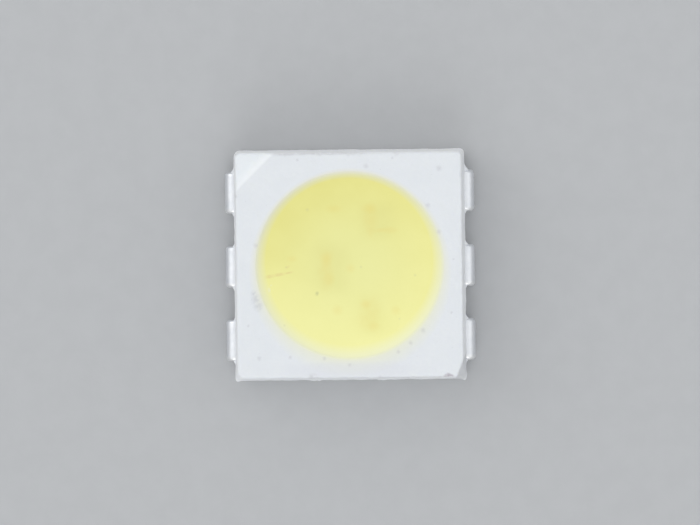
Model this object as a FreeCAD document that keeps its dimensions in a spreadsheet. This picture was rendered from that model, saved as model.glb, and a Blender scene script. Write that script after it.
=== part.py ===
import FreeCAD, Part
import math
import os
import Sketcher

# Surface-mount light-emitting diode: a 5 x 5 mm white moulded housing with a round cup,
# six formed leads, three chips with two bond wires each, and a phosphor gel that fills the cup.
# Millimetres. +Z is up, away from the board. The origin is the centre of the package on the
# plane that the lead feet rest on. +X runs from the leads 1-3 side to the leads 4-6 side, and
# the polarity mark is at the -X +Y corner, beside lead 1.

doc = FreeCAD.newDocument("surface_mount_led")
sheet = doc.addObject("Spreadsheet::Sheet", "Dimensions")

VALUES = [
    # housing
    ("body_length", 5.00, "housing along X at the parting band"),
    ("body_width", 5.00, "housing along Y at the parting band"),
    ("body_corner", 0.08, "radius of the housing's upright corners"),
    ("overall_height", 1.60, "feet to top face"),
    ("underside_gap", 0.05, "plastic underside above the feet plane"),
    ("top_draft", 4.0, "draft of the walls above the parting band, degrees"),
    ("under_draft", 4.0, "draft of the walls below the parting band, degrees"),
    ("cup_top_radius", 2.00, "cup at the top face"),
    ("cup_floor_radius", 1.72, "cup at the lead frame"),
    ("rim_round", 0.03, "rounding of the cup rim"),
    ("mark_leg", 0.81, "polarity mark, leg along each edge of the top face"),
    ("mark_ramp", 0.15, "polarity mark, plan length of its ramp along an edge"),
    ("mark_depth", 0.12, "polarity mark, depth of its flat below the top face"),
    ("clip_along_x", 0.15, "clipped corner, along the front edge of the top face"),
    ("clip_along_y", 0.365, "clipped corner, along the right edge of the top face"),
    ("clip_left_over", 0.01, "clipped corner, what is left of it at the parting band"),
    ("web_out", 0.05, "moulded web beside each lead, how far it stands out"),
    ("web_root", 0.12, "moulded web beside each lead, width at the wall"),
    ("web_tip", 0.05, "moulded web beside each lead, width at its tip"),
    ("foot_clearance", 0.03, "room round each foot in its pocket"),
    # leads
    ("span_over_leads", 5.40, "outer face to outer face of the leads"),
    ("lead_thickness", 0.15, ""),
    ("lead_width", 0.90, ""),
    ("lead_pitch", 1.60, ""),
    ("frame_underside", 0.65, "underside of the lead frame in the housing"),
    ("bend_inner", 0.05, "inner bend radius"),
    ("foot_length", 1.10, "foot, from the lead's outer face inwards"),
    ("neck_inner", 2.20, "X where the strip starts to widen to its pad"),
    ("pad_shoulder", 2.02, "X where the pad has its full width"),
    ("pad_outer", 0.25, "outer rows: the pad's outer edge, beyond the lead's centre line"),
    ("pad_inner", 1.01, "outer rows: the pad's inner edge, inside the lead's centre line"),
    ("pad_half_mid", 0.44, "middle row: half the pad's width"),
    ("pad_corner", 0.10, "chamfer of the pad's free corners"),
    ("split_low", 0.20, "outer rows: end of the short pad, from X 0 to its own side"),
    ("split_high", 0.02, "outer rows: how far the long pad passes X 0"),
    ("split_mid_long", 0.24, "middle row: end of the long pad, from X 0 to its own side"),
    ("split_mid_short", 0.06, "middle row: how far the short pad passes X 0"),
    # chips and their adhesive
    ("chip_length", 0.71, ""),
    ("chip_width", 0.33, ""),
    ("chip_height", 0.12, ""),
    ("glue_height", 0.015, ""),
    ("glue_margin", 0.02, "adhesive beyond the chip on each side"),
    ("chip_pad_offset", 0.28, "contact from the chip's centre, along its length"),
    ("chip_outer_x", 0.48, "chips in the outer rows"),
    ("chip_back_y", 1.05, ""),
    ("chip_front_y", 1.07, ""),
    ("chip_mid_x", 0.48, "chip in the middle row, on the other side"),
    # bond wires
    ("wire_diameter", 0.025, ""),
    ("ball_diameter", 0.075, ""),
    ("ball_height", 0.020, ""),
    ("stitch_diameter", 0.055, ""),
    ("stitch_height", 0.016, ""),
    ("loop_height", 0.16, "wire centre line above the chip's top"),
    ("loop_first", 0.05, "radius of the bend over the ball"),
    ("loop_second", 0.08, "radius of the bend at the end of the loop"),
    ("loop_third", 0.05, "radius of the bend down to the stitch"),
    ("tail", 0.02, "level stretch at the stitch, half its length"),
    ("wire_gap", 0.001, "wire underside above the lead frame at the stitch"),
    # gel
    ("gel_edge_drop", 0.035, "gel edge below the top face"),
    ("gel_sag", 0.05, "gel centre below its edge"),
]

for row, (alias, value, note) in enumerate(VALUES, start=1):
    sheet.set(f"A{row}", alias)
    sheet.set(f"B{row}", str(value))
    sheet.set(f"C{row}", note)
    sheet.setAlias(f"B{row}", alias)
doc.recompute()


class Dim:
    """A number that keeps the expression it came from, so that a constraint can be bound to it."""

    def __init__(self, value, text):
        self.v, self.text = float(value), text

    @staticmethod
    def of(x):
        return x if isinstance(x, Dim) else Dim(x, f"{float(x):.12g}")

    def __add__(self, o):
        o = Dim.of(o)
        return Dim(self.v + o.v, f"({self.text} + {o.text})")

    def __sub__(self, o):
        o = Dim.of(o)
        return Dim(self.v - o.v, f"({self.text} - {o.text})")

    def __mul__(self, o):
        o = Dim.of(o)
        return Dim(self.v * o.v, f"({self.text} * {o.text})")

    def __truediv__(self, o):
        o = Dim.of(o)
        return Dim(self.v / o.v, f"({self.text} / {o.text})")

    def __neg__(self):
        return Dim(-self.v, f"(-1 * {self.text})")

    __radd__ = __add__

    def __rsub__(self, o):
        return Dim.of(o) - self

    def __rmul__(self, o):
        return self * o


def cell(alias):
    return Dim(sheet.get(alias), f"Dimensions.{alias}")


def new_body(name, x=None, y=None, z=None, turn=None):
    body = doc.addObject("PartDesign::Body", name)
    body.Label = name
    if turn is not None:
        body.Placement = FreeCAD.Placement(
            FreeCAD.Vector(0, 0, 0), FreeCAD.Rotation(FreeCAD.Vector(0, 0, 1), turn)
        )
    for axis, value in (("x", x), ("y", y), ("z", z)):
        if value is not None:
            body.setExpression(f"Placement.Base.{axis}", value.text)
    return body


def plane(body, role):
    return next(o for o in body.Origin.OriginFeatures if o.Role == role)


def new_sketch(body, name, role, offset=None):
    """A sketch on one of the body's own origin planes, lifted along the plane's normal."""
    sk = body.newObject("Sketcher::SketchObject", name)
    sk.AttachmentSupport = [(plane(body, role), "")]
    sk.MapMode = "FlatFace"
    if offset is not None:
        sk.setExpression("AttachmentOffset.Base.z", offset.text)
    return sk


def pin_point(sk, geo, pos, x, y, tag):
    """Holds one point of the sketch at (x, y) from its origin, each bound to its expression."""
    for kind, d, axis_geo, letter in (
        ("DistanceX", Dim.of(x), -2, "x"),
        ("DistanceY", Dim.of(y), -1, "y"),
    ):
        if abs(d.v) < 1e-9:
            sk.addConstraint(Sketcher.Constraint("PointOnObject", geo, pos, axis_geo))
        else:
            n = sk.addConstraint(Sketcher.Constraint(kind, -1, 1, geo, pos, d.v))
            sk.renameConstraint(n, f"{letter}_{tag}")
            sk.setExpression(f"Constraints.{letter}_{tag}", d.text)


def draw(sk, points, arcs=None, closed=True):
    """Draws a chain of points. arcs maps the index of a stretch to (centre x, centre y, radius)."""
    arcs = arcs or {}
    pts = [(Dim.of(x), Dim.of(y)) for x, y in points]
    count = len(pts) if closed else len(pts) - 1
    ends = []
    for i in range(count):
        a, b = pts[i], pts[(i + 1) % len(pts)]
        if i in arcs:
            cx, cy, r = (Dim.of(q) for q in arcs[i])
            a0 = math.atan2(a[1].v - cy.v, a[0].v - cx.v)
            a1 = math.atan2(b[1].v - cy.v, b[0].v - cx.v)
            turn = (a[0].v - cx.v) * (b[1].v - cy.v) - (a[1].v - cy.v) * (b[0].v - cx.v)
            circle = Part.Circle(
                FreeCAD.Vector(cx.v, cy.v, 0), FreeCAD.Vector(0, 0, 1), r.v
            )
            if turn > 0:
                g = sk.addGeometry(Part.ArcOfCircle(circle, a0, a1), False)
                ends.append((g, 1, 2))
            else:
                g = sk.addGeometry(Part.ArcOfCircle(circle, a1, a0), False)
                ends.append((g, 2, 1))
        else:
            g = sk.addGeometry(
                Part.LineSegment(
                    FreeCAD.Vector(a[0].v, a[1].v, 0), FreeCAD.Vector(b[0].v, b[1].v, 0)
                ),
                False,
            )
            ends.append((g, 1, 2))
    for i in range(count):
        j = (i + 1) % count
        if j != 0 or closed:
            sk.addConstraint(
                Sketcher.Constraint(
                    "Coincident", ends[i][0], ends[i][2], ends[j][0], ends[j][1]
                )
            )
    for i in range(len(pts)):
        if i < count:
            geo, pos = ends[i][0], ends[i][1]
        else:
            geo, pos = ends[i - 1][0], ends[i - 1][2]
        pin_point(sk, geo, pos, pts[i][0], pts[i][1], i)
    for i in arcs:
        r = Dim.of(arcs[i][2])
        n = sk.addConstraint(Sketcher.Constraint("Radius", ends[i][0], r.v))
        sk.renameConstraint(n, f"r_{i}")
        sk.setExpression(f"Constraints.r_{i}", r.text)
    return sk


def draw_circle(sk, x, y, r):
    x, y, r = Dim.of(x), Dim.of(y), Dim.of(r)
    g = sk.addGeometry(
        Part.Circle(FreeCAD.Vector(x.v, y.v, 0), FreeCAD.Vector(0, 0, 1), r.v), False
    )
    pin_point(sk, g, 3, x, y, "c")
    n = sk.addConstraint(Sketcher.Constraint("Radius", g, r.v))
    sk.renameConstraint(n, "r_c")
    sk.setExpression("Constraints.r_c", r.text)
    return sk


def rounded_rectangle(sk, half_x, half_y, r):
    hx, hy, r = Dim.of(half_x), Dim.of(half_y), Dim.of(r)
    pts = [
        (hx, -hy + r), (hx, hy - r), (hx - r, hy), (-hx + r, hy),
        (-hx, hy - r), (-hx, -hy + r), (-hx + r, -hy), (hx - r, -hy),
    ]
    arcs = {
        1: (hx - r, hy - r, r),
        3: (-hx + r, hy - r, r),
        5: (-hx + r, -hy + r, r),
        7: (hx - r, -hy + r, r),
    }
    return draw(sk, pts, arcs)


def pad(body, name, sk, length, reversed_=False, symmetric=False, taper=None):
    f = body.newObject("PartDesign::Pad", name)
    f.Profile = (sk, [""])
    f.setExpression("Length", Dim.of(length).text)
    f.Reversed = reversed_
    if symmetric:
        f.SideType = "Symmetric"
    if taper is not None:
        f.setExpression("TaperAngle", taper.text)
    doc.recompute()
    return f


# ---------------------------------------------------------------- shared derived sizes
half_x = cell("body_length") / 2
half_y = cell("body_width") / 2
top_z = cell("overall_height")
frame_low = cell("frame_underside")
frame_top = frame_low + cell("lead_thickness")
rise = top_z - frame_top
TAN_TOP = math.tan(math.radians(sheet.get("top_draft")))
top_half_x = half_x - rise * TAN_TOP
top_half_y = half_y - rise * TAN_TOP


# ---------------------------------------------------------------- leads
def make_lead(name, side, row, long_pad):
    """One lead: a strip that leaves the wall, turns down and under, and widens to its pad in the cup.
    side is 1 for the +X leads and -1 for the -X leads. row is 1 back, 0 middle, -1 front."""
    body = new_body(name, y=(cell("lead_pitch") * row) if row else None)
    outer = cell("span_over_leads") / 2
    r_in = cell("bend_inner")
    r_out = r_in + cell("lead_thickness")
    bend_x = outer - r_out
    upper_z = frame_low - r_in
    lower_z = cell("lead_thickness") + r_in
    t = cell("lead_thickness")
    start = cell("neck_inner")
    tip = outer - cell("foot_length")
    s = float(side)
    pts = [
        (start * s, frame_low), (start * s, frame_top), (bend_x * s, frame_top),
        (outer * s, upper_z), (outer * s, lower_z), (bend_x * s, Dim.of(0)),
        (tip * s, Dim.of(0)), (tip * s, t), (bend_x * s, t),
        ((outer - t) * s, lower_z), ((outer - t) * s, upper_z), (bend_x * s, frame_low),
    ]
    arcs = {
        2: (bend_x * s, upper_z, r_out),
        4: (bend_x * s, lower_z, r_out),
        8: (bend_x * s, lower_z, r_in),
        10: (bend_x * s, upper_z, r_in),
    }
    sk = draw(new_sketch(body, name + "_strip_profile", "XZ_Plane"), pts, arcs)
    pad(body, name + "_strip", sk, cell("lead_width"), symmetric=True)
    # the pad in the housing and on the cup floor, in the lead's own frame
    w = cell("lead_width") / 2
    c = cell("pad_corner")
    neck, shoulder = cell("neck_inner"), cell("pad_shoulder")
    root = neck + 0.05
    if row:
        if long_pad:
            end = -cell("split_high")
        else:
            end = cell("split_low")
        hi, lo = cell("pad_outer") * row, -cell("pad_inner") * row
        # the pad's outer and inner edges, as seen from the lead's centre line
        plan = [
            (root * s, w * row), (neck * s, w * row), (shoulder * s, hi),
            ((end + c) * s, hi), (end * s, hi - c * row), (end * s, lo + c * row),
            ((end + c) * s, lo), (shoulder * s, lo), (neck * s, -(w * row)),
            (root * s, -(w * row)),
        ]
    else:
        end = cell("split_mid_long") if long_pad else -cell("split_mid_short")
        m = cell("pad_half_mid")
        plan = [
            (root * s, w), (neck * s, w), (shoulder * s, m), ((end + c) * s, m),
            (end * s, m - c), (end * s, -m + c), ((end + c) * s, -m),
            (shoulder * s, -m), (neck * s, -w), (root * s, -w),
        ]
    sk = draw(new_sketch(body, name + "_pad_plan", "XY_Plane", frame_low), plan)
    pad(body, name + "_pad", sk, cell("lead_thickness"))
    return body


leads = [
    make_lead("lead_1", -1, 1, False),
    make_lead("lead_2", -1, 0, True),
    make_lead("lead_3", -1, -1, False),
    make_lead("lead_4", 1, -1, True),
    make_lead("lead_5", 1, 0, False),
    make_lead("lead_6", 1, 1, True),
]

# ---------------------------------------------------------------- housing
shell = new_body("housing_moulding")
corner = cell("body_corner")

sk = rounded_rectangle(
    new_sketch(shell, "band_plan", "XY_Plane", frame_low), half_x, half_y, corner
)
band = pad(shell, "parting_band", sk, cell("lead_thickness"))

sk = rounded_rectangle(
    new_sketch(shell, "upper_plan", "XY_Plane", frame_top), half_x, half_y, corner
)
before = shell.Shape.Volume
upper = pad(shell, "upper_wall", sk, rise, taper=-cell("top_draft"))
flare = shell.Shape.BoundBox.XLength
if flare > sheet.get("body_length") + 1e-6:
    raise SystemExit("the upper wall's draft points outwards")
assert shell.Shape.Volume > before

sk = rounded_rectangle(
    new_sketch(shell, "lower_plan", "XY_Plane", frame_low), half_x, half_y, corner
)
before = shell.Shape.Volume
lower = pad(
    shell, "lower_wall", sk, frame_low - cell("underside_gap"), reversed_=True,
    taper=-cell("under_draft"),
)
if shell.Shape.BoundBox.XLength > sheet.get("body_length") + 1e-6:
    raise SystemExit("the lower wall's draft points outwards")
assert shell.Shape.Volume > before

# webs that the mould leaves in the corner between each lead and the wall
lead_half = cell("lead_width") / 2
for side in (-1, 1):
    for row in (1, 0, -1):
        for hand in (1, -1):
            y0 = cell("lead_pitch") * row + lead_half * hand
            inner = half_x - 0.05
            pts = [
                (inner * side, y0), (half_x * side + cell("web_out") * side, y0),
                (half_x * side + cell("web_out") * side, y0 + cell("web_tip") * hand),
                (half_x * side, y0 + cell("web_root") * hand),
                (inner * side, y0 + cell("web_root") * hand),
            ]
            tag = f"web_{'l' if side < 0 else 'r'}{row + 2}{'a' if hand > 0 else 'b'}"
            sk = draw(new_sketch(shell, tag + "_plan", "XY_Plane", frame_low), pts)
            pad(shell, tag, sk, cell("lead_thickness"))


def cut_check(feature, before, what):
    doc.recompute()
    if not shell.Shape.Volume < before - 1e-6:
        raise SystemExit(what + " removed nothing")
    return feature


# the cup, turned about the package's axis
over = 0.1
slope = (cell("cup_top_radius") - cell("cup_floor_radius")) / rise
sk = draw(
    new_sketch(shell, "cup_section", "XZ_Plane"),
    [
        (0, frame_top), (cell("cup_floor_radius"), frame_top),
        (cell("cup_top_radius") + slope * over, top_z + over), (0, top_z + over),
    ],
)
before = shell.Shape.Volume
cup = shell.newObject("PartDesign::Groove", "cup")
cup.Profile = (sk, [""])
cup.ReferenceAxis = (sk, ["V_Axis"])
cup.Angle = 360.0
cut_check(cup, before, "the cup")

# Corner cuts are drawn in an upright plane that contains the package's axis and runs through
# the cut's own direction. In that plane the first number is the distance out from the axis.
deep = Dim.of(4.0)


def corner_cut(tag, direction, points):
    sk = new_sketch(shell, tag + "_section", "XZ_Plane")
    sk.AttachmentOffset = FreeCAD.Placement(
        FreeCAD.Vector(0, 0, 0), FreeCAD.Rotation(FreeCAD.Vector(0, 1, 0), direction.v)
    )
    sk.setExpression("AttachmentOffset.Rotation.Angle", direction.text)
    draw(sk, points)
    before = shell.Shape.Volume
    f = shell.newObject("PartDesign::Pocket", tag)
    f.Profile = (sk, [""])
    f.SideType = "Symmetric"
    f.setExpression("Length", deep.text)
    return cut_check(f, before, tag)


# polarity mark at the -X +Y corner: a low flat with a ramp up to the top face
ROOT_HALF = math.sqrt(0.5)
past = 0.1
corner_out = (top_half_x + top_half_y) * ROOT_HALF
edge_out = corner_out - cell("mark_leg") * ROOT_HALF
flat_out = edge_out + cell("mark_ramp") * ROOT_HALF
ramp_rate = cell("mark_ramp") * ROOT_HALF / cell("mark_depth")
flat_z = top_z - cell("mark_depth")
mark = corner_cut(
    "polarity_mark",
    Dim(135, "135"),
    [
        (flat_out, flat_z), (corner_out + 1, flat_z), (corner_out + 1, top_z + past),
        (edge_out - ramp_rate * past, top_z + past),
    ],
)

# clipped corner at +X -Y: a steep facet from the top face down to the parting band
leg_x, leg_y = cell("clip_along_x"), cell("clip_along_y")
leg = Dim(
    math.hypot(leg_x.v, leg_y.v), f"sqrt(pow({leg_x.text}; 2) + pow({leg_y.text}; 2))"
)
turn = Dim(
    -math.degrees(math.atan2(leg_x.v, leg_y.v)), f"(-1 * atan({leg_x.text} / {leg_y.text}))"
)
clip_top = ((top_half_x - leg_x) * leg_y + top_half_y * leg_x) / leg
clip_low = ((half_x - cell("clip_left_over")) * leg_y + half_y * leg_x) / leg
clip_rate = (clip_low - clip_top) / rise
clip = corner_cut(
    "clipped_corner",
    turn,
    [
        (clip_low, frame_top), (clip_low + 1, frame_top), (clip_low + 1, top_z + past),
        (clip_top - clip_rate * past, top_z + past),
    ],
)

# pockets under the housing for the feet, three on each side
reach = half_x + 0.1
gap = cell("foot_clearance")
foot_tip = cell("span_over_leads") / 2 - cell("foot_length")
for side in (-1, 1):
    for row in (1, 0, -1):
        y_mid = cell("lead_pitch") * row
        tag = f"foot_pocket_{'l' if side < 0 else 'r'}{row + 2}"
        x_in, x_out = (foot_tip - gap) * side, reach * side
        sk = draw(
            new_sketch(shell, tag + "_plan", "XY_Plane", Dim.of(-0.05)),
            [
                (x_in, y_mid - lead_half - gap), (x_out, y_mid - lead_half - gap),
                (x_out, y_mid + lead_half + gap), (x_in, y_mid + lead_half + gap),
            ],
        )
        before = shell.Shape.Volume
        f = shell.newObject("PartDesign::Pocket", tag)
        f.Profile = (sk, [""])
        f.Reversed = True
        f.setExpression("Length", (cell("lead_thickness") + gap + 0.05).text)
        cut_check(f, before, tag)

# rounded cup rim
rim = [
    f"Edge{i + 1}"
    for i, e in enumerate(shell.Shape.Edges)
    if abs(e.BoundBox.ZMin - sheet.get("overall_height")) < 1e-6
    and abs(e.BoundBox.ZMax - sheet.get("overall_height")) < 1e-6
    and isinstance(e.Curve, Part.Circle)
    and abs(e.Curve.Radius - sheet.get("cup_top_radius")) < 1e-6
]
if not rim:
    raise SystemExit("the cup rim's edge wasn't found")
before = shell.Shape.Volume
fillet = shell.newObject("PartDesign::Fillet", "cup_rim_round")
fillet.Base = (shell.Tip if shell.Tip != fillet else f, rim)
fillet.setExpression("Radius", cell("rim_round").text)
cut_check(fillet, before, "the rim rounding")

# the moulding is cast round the lead frame, so the leads' own shape is what it leaves open
frame_tool = doc.addObject("Part::MultiFuse", "lead_frame_in_the_mould")
frame_tool.Shapes = leads
housing = doc.addObject("Part::Cut", "housing")
housing.Base = shell
housing.Tool = frame_tool
housing.Label = "housing"
doc.recompute()

# ---------------------------------------------------------------- chips and their adhesive
CHIPS = {
    # name: (x, y)
    "back": (cell("chip_outer_x"), cell("chip_back_y")),
    "middle": (-cell("chip_mid_x"), Dim.of(0)),
    "front": (cell("chip_outer_x"), -cell("chip_front_y")),
}
chips, glues = [], []
chip_z = frame_top + cell("glue_height")
for name, (x, y) in CHIPS.items():
    body = new_body("chip_adhesive_" + name, x, y, frame_top)
    gx = cell("chip_width") / 2 + cell("glue_margin")
    gy = cell("chip_length") / 2 + cell("glue_margin")
    sk = rounded_rectangle(
        new_sketch(body, body.Name + "_plan", "XY_Plane"), gx, gy, cell("glue_margin")
    )
    pad(body, body.Name + "_layer", sk, cell("glue_height"))
    glues.append(body)
    body = new_body("led_chip_" + name, x, y, chip_z)
    cx, cy = cell("chip_width") / 2, cell("chip_length") / 2
    sk = draw(
        new_sketch(body, body.Name + "_plan", "XY_Plane"),
        [(-cx, -cy), (cx, -cy), (cx, cy), (-cx, cy)],
    )
    pad(body, body.Name + "_block", sk, cell("chip_height"))
    chips.append(body)

# ---------------------------------------------------------------- bond wires
# name, chip, which contact (1 back, -1 front), landing point on the lead frame
WIRES = [
    ("bond_wire_back_left", "back", 1, -0.31, 1.30),
    ("bond_wire_back_right", "back", -1, 0.90, 0.84),
    ("bond_wire_middle_left", "middle", 1, -1.25, 0.20),
    ("bond_wire_middle_right", "middle", -1, 0.05, 0.01),
    ("bond_wire_front_left", "front", 1, -0.29, -0.93),
    ("bond_wire_front_right", "front", -1, 1.00, -0.97),
]
row = len(VALUES)
for name, chip, contact, lx, ly in WIRES:
    for axis, value in (("x", lx), ("y", ly)):
        row += 1
        alias = f"{name}_land_{axis}"
        sheet.set(f"A{row}", alias)
        sheet.set(f"B{row}", str(value))
        sheet.set(f"C{row}", "where the wire is stitched to the lead frame")
        sheet.setAlias(f"B{row}", alias)
doc.recompute()

SIN45 = math.sin(math.radians(45))
wires = []
wire_r = cell("wire_diameter") / 2
for name, chip, contact, _, _ in WIRES:
    bx, by = CHIPS[chip]
    by = by + cell("chip_pad_offset") * contact
    lx, ly = cell(name + "_land_x"), cell(name + "_land_y")
    run = math.hypot(lx.v - bx.v, ly.v - by.v)
    span = Dim(run, f"sqrt(pow({(lx - bx).text}; 2) + pow({(ly - by).text}; 2))")
    heading = math.degrees(math.atan2(ly.v - by.v, lx.v - bx.v))
    body = new_body(name, bx, by, chip_z + cell("chip_height"), turn=heading)
    drop = cell("chip_height") + cell("glue_height")
    sk = draw_circle(
        new_sketch(body, name + "_ball_plan", "XY_Plane"), 0, 0, cell("ball_diameter") / 2
    )
    pad(body, name + "_ball", sk, cell("ball_height"))
    sk = draw_circle(
        new_sketch(body, name + "_stitch_plan", "XY_Plane", -drop),
        span, 0, cell("stitch_diameter") / 2,
    )
    foot = pad(body, name + "_stitch", sk, cell("stitch_height"))
    # centre line: up from the ball, level, down at 45 degrees, level at the stitch
    up = cell("loop_height")
    a, b, c = cell("loop_first"), cell("loop_second"), cell("loop_third")
    z_end = wire_r + cell("wire_gap") - drop
    x_end = span - cell("tail")
    x_turn = x_end - (up - z_end) + (b + c) * (1 - 2 * SIN45)
    if x_turn.v < a.v + 0.005:
        raise SystemExit(name + " is too short for its loop")
    path = [
        (Dim.of(0), cell("ball_height") / 2), (Dim.of(0), up - a), (a, up), (x_turn, up),
        (x_turn + b * SIN45, up - b * (1 - SIN45)),
        (x_end - c * SIN45, z_end + c * (1 - SIN45)), (x_end, z_end),
        (span + cell("tail") / 2, z_end),
    ]
    arcs = {1: (a, up - a, a), 3: (x_turn, up - b, b), 5: (x_end, z_end + c, c)}
    line = draw(new_sketch(body, name + "_path", "XZ_Plane"), path, arcs, closed=False)
    section = draw_circle(
        new_sketch(body, name + "_section", "XY_Plane", cell("ball_height") / 2),
        0, 0, wire_r,
    )
    doc.recompute()
    pipe = body.newObject("PartDesign::AdditivePipe", name + "_loop")
    pipe.Profile = (section, [""])
    pipe.Spine = (line, [])
    pipe.Mode = "Standard"
    pipe.Transition = "Transformed"
    doc.recompute()
    wires.append(body)

# ---------------------------------------------------------------- gel
gel_body = new_body("gel_fill")
z_edge = top_z - cell("gel_edge_drop")
r_edge = cell("cup_floor_radius") + slope * (z_edge - frame_top)
sag = cell("gel_sag")
ball = Dim(
    (r_edge.v**2 + sag.v**2) / (2 * sag.v),
    f"((pow({r_edge.text}; 2) + pow({sag.text}; 2)) / (2 * {sag.text}))",
)
sk = draw(
    new_sketch(gel_body, "gel_section", "XZ_Plane"),
    [
        (0, frame_top), (cell("cup_floor_radius"), frame_top), (r_edge, z_edge),
        (0, z_edge - sag),
    ],
    {2: (0, z_edge - sag + ball, ball)},
)
gel_turn = gel_body.newObject("PartDesign::Revolution", "gel_turned")
gel_turn.Profile = (sk, [""])
gel_turn.ReferenceAxis = (sk, ["V_Axis"])
gel_turn.Angle = 360.0
doc.recompute()

in_the_gel = doc.addObject("Part::MultiFuse", "what_the_gel_covers")
in_the_gel.Shapes = chips + glues + wires
gel = doc.addObject("Part::Cut", "phosphor_gel")
gel.Base = gel_body
gel.Tool = in_the_gel
gel.Label = "phosphor_gel"
doc.recompute()

# ---------------------------------------------------------------- check and write
NODES = [housing, gel] + leads + chips + glues + wires

for o in doc.Objects:
    if any(word in ("Invalid", "Error") for word in o.State):
        raise SystemExit(f"{o.Name} failed: {o.State}")
    if o.TypeId == "Sketcher::SketchObject" and o.solve() != 0:
        raise SystemExit(f"sketch {o.Name} doesn't solve")

os.makedirs("parts", exist_ok=True)
for o in NODES:
    shape = o.Shape
    if shape.isNull() or not shape.isValid() or len(shape.Solids) != 1:
        raise SystemExit(f"{o.Label}: null, not valid or {len(shape.Solids)} solids")
    solid = shape.Solids[0]
    solid.exportStep(f"parts/{o.Label}.step")
    bb = solid.BoundBox
    print(
        f"{o.Label:24s} volume {solid.Volume:9.5f} mm3  "
        f"x {bb.XMin:7.3f} {bb.XMax:7.3f}  y {bb.YMin:7.3f} {bb.YMax:7.3f}  z {bb.ZMin:7.3f} {bb.ZMax:7.3f}"
    )
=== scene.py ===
import math

import bmesh
import bpy
import numpy as np
from mathutils import Matrix, Vector


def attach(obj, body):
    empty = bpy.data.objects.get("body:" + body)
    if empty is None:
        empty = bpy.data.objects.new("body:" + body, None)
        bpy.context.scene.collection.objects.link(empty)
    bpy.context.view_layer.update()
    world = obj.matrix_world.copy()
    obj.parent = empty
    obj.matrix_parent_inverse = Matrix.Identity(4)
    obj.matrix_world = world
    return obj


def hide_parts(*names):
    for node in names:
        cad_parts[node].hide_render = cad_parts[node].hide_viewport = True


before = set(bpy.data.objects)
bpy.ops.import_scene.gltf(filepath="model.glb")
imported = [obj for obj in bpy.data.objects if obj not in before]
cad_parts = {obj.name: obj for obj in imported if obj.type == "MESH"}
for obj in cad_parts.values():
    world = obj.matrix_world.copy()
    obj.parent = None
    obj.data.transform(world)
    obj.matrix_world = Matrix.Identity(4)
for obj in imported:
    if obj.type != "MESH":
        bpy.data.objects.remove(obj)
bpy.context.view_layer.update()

MM = 0.001
scene = bpy.context.scene

# ------------------------------------------------------------------ sizes, millimetres
HALF = 2.5
TOP = 1.6
BAND_LOW, BAND_TOP = 0.65, 0.80
UNDER = 0.05
TAN_TOP = math.tan(math.radians(4.0))
TAN_LOW = math.tan(math.radians(4.0))
HALF_TOP = HALF - (TOP - BAND_TOP) * TAN_TOP
CUP_TOP, CUP_FLOOR = 2.0, 1.72
RIM_ROUND = 0.06
RIM_R = CUP_FLOOR + 0.35 * (TOP - RIM_ROUND - BAND_TOP) + RIM_ROUND / math.cos(math.atan(0.35))
LEAD_T, LEAD_W, PITCH = 0.15, 0.90, 1.6
OUTER = 2.7
ROOT_HALF = math.sqrt(0.5)
MARK_EDGE = (2 * HALF_TOP - 0.81) * ROOT_HALF
MARK_RUN = 0.15 * ROOT_HALF
MARK_DEPTH = 0.12
CLIP_N = np.array([0.365, -0.15]) / math.hypot(0.365, 0.15)
CLIP_TOP = (HALF_TOP - 0.15) * CLIP_N[0] - HALF_TOP * CLIP_N[1]
CLIP_LOW = (HALF - 0.01) * CLIP_N[0] - HALF * CLIP_N[1]
LEAD_ROWS = {1: 1, 2: 0, 3: -1, 4: -1, 5: 0, 6: 1}
LEAD_SHIFT = {1: -0.034, 2: -0.036, 3: -0.034, 4: -0.046, 5: -0.042, 6: -0.022}  # along Y, none sits quite true


# ------------------------------------------------------------------ small maths
def smax(a, b, k):
    h = np.clip(1 - np.abs(a - b) / k, 0, 1)
    return np.maximum(a, b) + h * h * k * 0.25


def smin(a, b, k):
    return -smax(-a, -b, k)


def step(lo, hi, x):
    t = np.clip((x - lo) / (hi - lo), 0, 1)
    return t * t * (3 - 2 * t)


class Ripple:
    """Smooth seeded noise from a sum of waves. size is the shortest wavelength, in millimetres."""

    def __init__(self, seed, size, count=26, spread=3.0):
        rng = np.random.default_rng(seed)
        d = rng.normal(size=(count, 3))
        d /= np.linalg.norm(d, axis=1)[:, None]
        length = size * spread ** rng.random(count)
        self.k = d * (2 * math.pi / length)[:, None]
        self.p = rng.random(count) * 2 * math.pi
        self.a = (length / length.max()) ** 0.5
        self.a /= math.sqrt((self.a**2).sum() / 2)

    def __call__(self, x, y, z):
        x, y, z = np.broadcast_arrays(x, y, z)
        out = np.zeros(x.shape)
        for k, p, a in zip(self.k, self.p, self.a):
            out += a * np.sin(x * k[0] + y * k[1] + z * k[2] + p)
        return out


# ------------------------------------------------------------------ meshes
def mesh_object(name, verts, faces, smooth=True, sharp=None):
    """verts in millimetres."""
    me = bpy.data.meshes.new(name)
    me.from_pydata((np.asarray(verts) * MM).tolist(), [], faces)
    me.validate()
    me.update()
    ob = bpy.data.objects.new(name, me)
    scene.collection.objects.link(ob)
    if smooth:
        me.polygons.foreach_set("use_smooth", [True] * len(me.polygons))
    if sharp is not None:
        me.set_sharp_from_angle(angle=math.radians(sharp))
    return ob


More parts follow.
